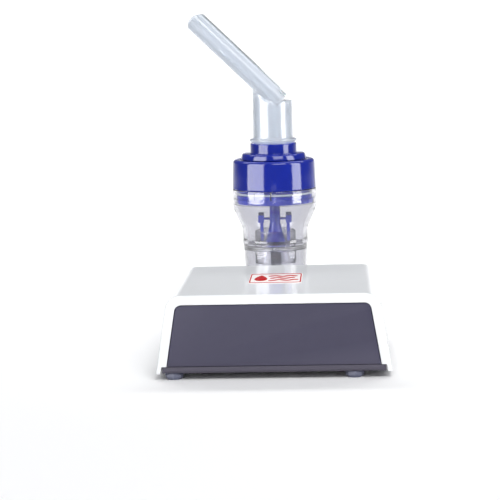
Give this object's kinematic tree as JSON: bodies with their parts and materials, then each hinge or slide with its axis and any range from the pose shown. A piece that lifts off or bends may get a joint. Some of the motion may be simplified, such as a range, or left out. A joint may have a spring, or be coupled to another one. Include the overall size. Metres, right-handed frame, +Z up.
{
  "type": "tabletop nebulizer",
  "caption": "Small arch-shaped air compressor with a plain front, carrying a clear jet nebulizer cup with blue lid and slanted mouthpiece in a holder behind it.",
  "frame": {"origin": "centre of the bounding box's base, on the plane that the feet stand on", "axes": "+Z up, +Y from the plain front panel to the back panel and the nebulizer, +X to the right seen from the front"},
  "size_m": [0.12, 0.1432, 0.1831],
  "materials": {
    "white_shell": "gloss",
    "slate_panel": "satin",
    "tray": "satin",
    "foot_rubber": "matt",
    "badge": "printed film",
    "black_plastic": "fine texture",
    "clear_plastic": "clear moulded",
    "blue_plastic": "gloss",
    "frosted_plastic": "frosted moulded",
    "silicone": "translucent",
    "felt": "pressed felt",
    "zinc_steel": "zinc plated",
    "laminated_steel": "laminated",
    "magnet": "sintered",
    "bronze": "sintered",
    "cast_aluminium": "as cast",
    "grey_nylon": "moulded",
    "board": "lacquered",
    "lead_cover": "insulation"
  },
  "bodies": {
    "housing": {"top_shell": "white_shell", "front_panel": "slate_panel", "rear_panel": "slate_panel", "base_tray": "tray", "foot_front_left": "foot_rubber", "foot_front_right": "foot_rubber", "foot_rear_left": "foot_rubber", "foot_rear_right": "foot_rubber", "housing_screws": "zinc_steel", "label_badge": "badge", "nebulizer_dock": "slate_panel", "dock_screws": "zinc_steel", "switch_frame": "black_plastic", "switch_terminals": "zinc_steel", "power_inlet": "black_plastic", "power_inlet_pin": "zinc_steel", "air_outlet": "grey_nylon", "filter_pot": "grey_nylon", "filter_felt": "felt", "motor_can": "zinc_steel", "motor_end_bell": "black_plastic", "motor_bushes": "bronze", "motor_magnets": "magnet", "motor_screws": "zinc_steel", "pump_frame": "cast_aluminium", "rubber_mounts": "foot_rubber", "cylinder_barrel": "cast_aluminium", "valve_plate": "cast_aluminium", "reed_valves": "zinc_steel", "cylinder_head": "cast_aluminium", "head_screws": "zinc_steel", "outlet_tube": "silicone", "intake_tube": "silicone", "circuit_board": "board", "capacitors": "black_plastic", "board_connectors": "grey_nylon", "board_posts": "grey_nylon", "switch_leads": "lead_cover", "inlet_leads": "lead_cover", "motor_leads": "lead_cover"},
    "rotor": {"motor_armature": "laminated_steel", "motor_commutator": "bronze", "motor_shaft": "zinc_steel", "cooling_fan": "grey_nylon", "crank": "zinc_steel"},
    "piston": {"crank_bearing": "zinc_steel", "piston_rod": "grey_nylon", "piston_cup": "silicone", "piston_clamp_plate": "zinc_steel", "piston_screw": "zinc_steel"},
    "switch_rocker": {"power_rocker": "black_plastic"},
    "filter_cover": {"filter_cap": "white_shell"},
    "nebulizer": {"nebulizer_cup": "clear_plastic"},
    "lid": {"nebulizer_lid": "blue_plastic", "lid_seal": "silicone", "outlet_collar": "blue_plastic", "baffle_insert": "blue_plastic"},
    "mouthpiece": {"mouthpiece": "frosted_plastic"},
    "exhalation_flap": {"exhalation_flap": "silicone"}
  },
  "joints": [
    {"name": "rotor_spin", "type": "hinge", "parent": "housing", "child": "rotor", "pos_m": [0.0095, -0.0336, 0.023], "axis": [1, 0, 0], "continuous": true},
    {"name": "rod_pivot", "type": "hinge", "parent": "rotor", "child": "piston", "pos_m": [0.0095, -0.0324, 0.023], "axis": [1, 0, 0], "continuous": true},
    {"name": "power_switch", "type": "hinge", "parent": "housing", "child": "switch_rocker", "pos_m": [-0.0395, 0.025, 0.025], "axis": [1, 0, 0], "range_deg": [-16, 0]},
    {"name": "filter_pull", "type": "slide", "parent": "housing", "child": "filter_cover", "axis": [0, 1, 0], "range_m": [0, 0.015]},
    {"name": "nebulizer_lift", "type": "slide", "parent": "housing", "child": "nebulizer", "axis": [0, 0, 1], "range_m": [0, 0.06]},
    {"name": "lid_turn", "type": "hinge", "parent": "nebulizer", "child": "lid", "pos_m": [-0.0023, 0.048, 0.09], "axis": [0, 0, 1], "range_deg": [0, 35]},
    {"name": "mouthpiece_swivel", "type": "hinge", "parent": "lid", "child": "mouthpiece", "pos_m": [-0.0023, 0.048, 0.108], "axis": [0, 0, 1], "continuous": true},
    {"name": "exhalation_valve", "type": "hinge", "parent": "mouthpiece", "child": "exhalation_flap", "pos_m": [0.00207, 0.048, 0.13965], "axis": [0, -1, 0], "range_deg": [0, 25]}
  ],
  "couplings": [
    {"joint": "rod_pivot", "follows": "rotor_spin", "ratio": -1}
  ]
}
